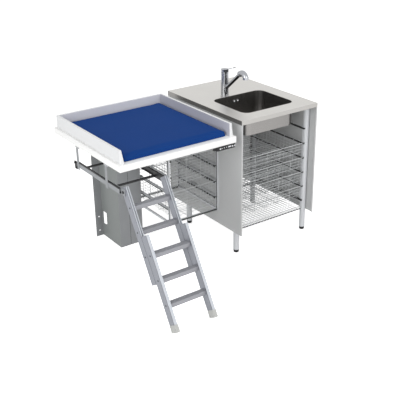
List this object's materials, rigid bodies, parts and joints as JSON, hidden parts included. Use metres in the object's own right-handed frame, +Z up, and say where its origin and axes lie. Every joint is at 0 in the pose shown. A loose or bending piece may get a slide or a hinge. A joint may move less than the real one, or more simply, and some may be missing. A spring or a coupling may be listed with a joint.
{
  "type": "changing table with bathtub",
  "caption": "Nursing-room unit: steel cabinet with bathtub, mixer tap and wire baskets, beside a motor-lifted changing table with a telescopic step ladder.",
  "frame": {"origin": "middle of the whole unit's box, on the floor", "axes": "+Z up, front faces -Y, the wall is towards +Y, the cabinet is at +X and the changing table at -X"},
  "size_m": [1.44, 1.304, 1.1015],
  "materials": {
    "worktop_steel": "satin stainless steel sheet",
    "tub_steel": "satin stainless steel, deep drawn",
    "chrome": "polished chrome plating",
    "panel_paint": "light grey powder coat, satin",
    "leg_paint": "light grey powder coat, satin",
    "rack_metal": "dark grey powder coat",
    "wire_metal": "grey coated wire",
    "bay_metal": "near-black powder coat",
    "column_paint": "mid grey powder coat, satin",
    "cover_paint": "light grey powder coat, satin",
    "steel": "bright drawn steel",
    "slab_white": "white laminate, satin",
    "wall_vinyl": "pale grey foam edge, satin",
    "mattress_vinyl": "blue coated cloth, semi matt",
    "aluminium": "anodised extrusion, satin",
    "rung_alu": "ribbed extrusion, satin",
    "rail_grey": "grey powder coat, satin",
    "black_metal": "black powder coat, satin",
    "black_plastic": "black moulded plastic, fine grain",
    "cap_plastic": "light grey moulded plastic",
    "key_white": "light keys",
    "foot_rubber": "black rubber"
  },
  "bodies": {
    "installation": {"worktop": "worktop_steel", "tub": "tub_steel", "waste": "chrome", "overflow_cover": "chrome", "panel_left": "panel_paint", "panel_right": "panel_paint", "legs": "leg_paint", "feet": "foot_rubber", "runner_racks": "rack_metal", "shelf_rails": "rack_metal", "bottom_shelf": "wire_metal", "bay_side_left": "bay_metal", "bay_side_right": "bay_metal", "bay_rails": "bay_metal", "column_side_left": "column_paint", "column_side_right": "column_paint", "column_cover": "cover_paint", "column_base": "column_paint", "column_cap": "column_paint", "actuator_tube": "black_metal", "tap_body": "chrome"},
    "plug": {"plug": "chrome"},
    "basket_1": {"basket_1": "wire_metal"},
    "basket_2": {"basket_2": "wire_metal"},
    "basket_3": {"basket_3": "wire_metal"},
    "basket_4": {"basket_4": "wire_metal"},
    "bay_basket_low": {"bay_basket_low": "wire_metal"},
    "bay_basket_high": {"bay_basket_high": "wire_metal"},
    "table": {"actuator_rod": "steel", "mast": "steel", "underframe": "steel", "table_slab": "slab_white", "edge_wall_left": "wall_vinyl", "edge_wall_right": "wall_vinyl", "edge_wall_rear": "wall_vinyl", "hangers": "rail_grey", "rail_left": "rail_grey", "rail_right": "black_metal", "rail_liners": "black_plastic", "rail_end_plates": "black_metal", "fixed_crossbar": "black_metal", "hand_control": "black_plastic"},
    "mattress": {"mattress": "mattress_vinyl"},
    "key_up": {"key_up": "key_white"},
    "key_down": {"key_down": "key_white"},
    "key_stop": {"key_stop": "key_white"},
    "carriage": {"carrier_left": "rail_grey", "carrier_right": "black_metal", "carrier_crossbar": "black_metal", "pivot_bolts": "black_metal"},
    "upper_ladder": {"upper_stringer_left": "aluminium", "upper_stringer_right": "aluminium", "upper_rungs": "rung_alu"},
    "lower_ladder": {"lower_stringer_left": "aluminium", "lower_stringer_right": "aluminium", "lower_rungs": "rung_alu", "foot_caps": "cap_plastic"},
    "tap_spout": {"tap_spout": "chrome"},
    "spray_head": {"spray_head": "chrome"},
    "tap_cap": {"tap_cap": "chrome"},
    "tap_lever": {"tap_lever": "chrome"}
  },
  "joints": [
    {"name": "table_lift", "type": "slide", "parent": "installation", "child": "table", "axis": [0, 0, 1], "range_m": [0, 0.25]},
    {"name": "mattress_lift_off", "type": "slide", "parent": "table", "child": "mattress", "axis": [0, 0, 1], "range_m": [0, 0.2]},
    {"name": "carriage_slide", "type": "slide", "parent": "table", "child": "carriage", "axis": [0, 1, 0], "range_m": [0, 0.3]},
    {"name": "ladder_swing", "type": "hinge", "parent": "carriage", "child": "upper_ladder", "pos_m": [-0.5635, -0.15979, 0.668], "axis": [-1, 0, 0], "range_deg": [0, 59]},
    {"name": "ladder_extend", "type": "slide", "parent": "upper_ladder", "child": "lower_ladder", "axis": [0, 0.5075, 0.8616], "range_m": [0, 0.21]},
    {"name": "key_up_press", "type": "slide", "parent": "table", "child": "key_up", "axis": [0, 1, 0], "range_m": [0, 0.001], "stiffness_N_per_m": 400, "springref_m": -0.001},
    {"name": "key_down_press", "type": "slide", "parent": "table", "child": "key_down", "axis": [0, 1, 0], "range_m": [0, 0.001], "stiffness_N_per_m": 400, "springref_m": -0.001},
    {"name": "key_stop_press", "type": "slide", "parent": "table", "child": "key_stop", "axis": [0, 1, 0], "range_m": [0, 0.001], "stiffness_N_per_m": 400, "springref_m": -0.001},
    {"name": "basket_1_pull", "type": "slide", "parent": "installation", "child": "basket_1", "axis": [0, -1, 0], "range_m": [0, 0.4]},
    {"name": "basket_2_pull", "type": "slide", "parent": "installation", "child": "basket_2", "axis": [0, -1, 0], "range_m": [0, 0.4]},
    {"name": "basket_3_pull", "type": "slide", "parent": "installation", "child": "basket_3", "axis": [0, -1, 0], "range_m": [0, 0.4]},
    {"name": "basket_4_pull", "type": "slide", "parent": "installation", "child": "basket_4", "axis": [0, -1, 0], "range_m": [0, 0.4]},
    {"name": "bay_basket_low_pull", "type": "slide", "parent": "installation", "child": "bay_basket_low", "axis": [0, -1, 0], "range_m": [0, 0.32]},
    {"name": "bay_basket_high_pull", "type": "slide", "parent": "installation", "child": "bay_basket_high", "axis": [0, -1, 0], "range_m": [0, 0.32]},
    {"name": "plug_lift", "type": "slide", "parent": "installation", "child": "plug", "axis": [0, 0, 1], "range_m": [0, 0.05]},
    {"name": "spout_swivel", "type": "hinge", "parent": "installation", "child": "tap_spout", "pos_m": [0.368, 0.35199, 0.945], "axis": [0, 0, 1], "range_deg": [-60, 60]},
    {"name": "spray_pull_out", "type": "slide", "parent": "tap_spout", "child": "spray_head", "axis": [0, -0.766, 0.6428], "range_m": [0, 0.05]},
    {"name": "temperature_turn", "type": "hinge", "parent": "installation", "child": "tap_cap", "pos_m": [0.368, 0.35199, 1.046], "axis": [0, 0, 1], "range_deg": [-45, 45]},
    {"name": "lever_tilt", "type": "hinge", "parent": "tap_cap", "child": "tap_lever", "pos_m": [0.368, 0.37699, 1.0516], "axis": [-1, 0, 0], "range_deg": [0, 25]}
  ]
}
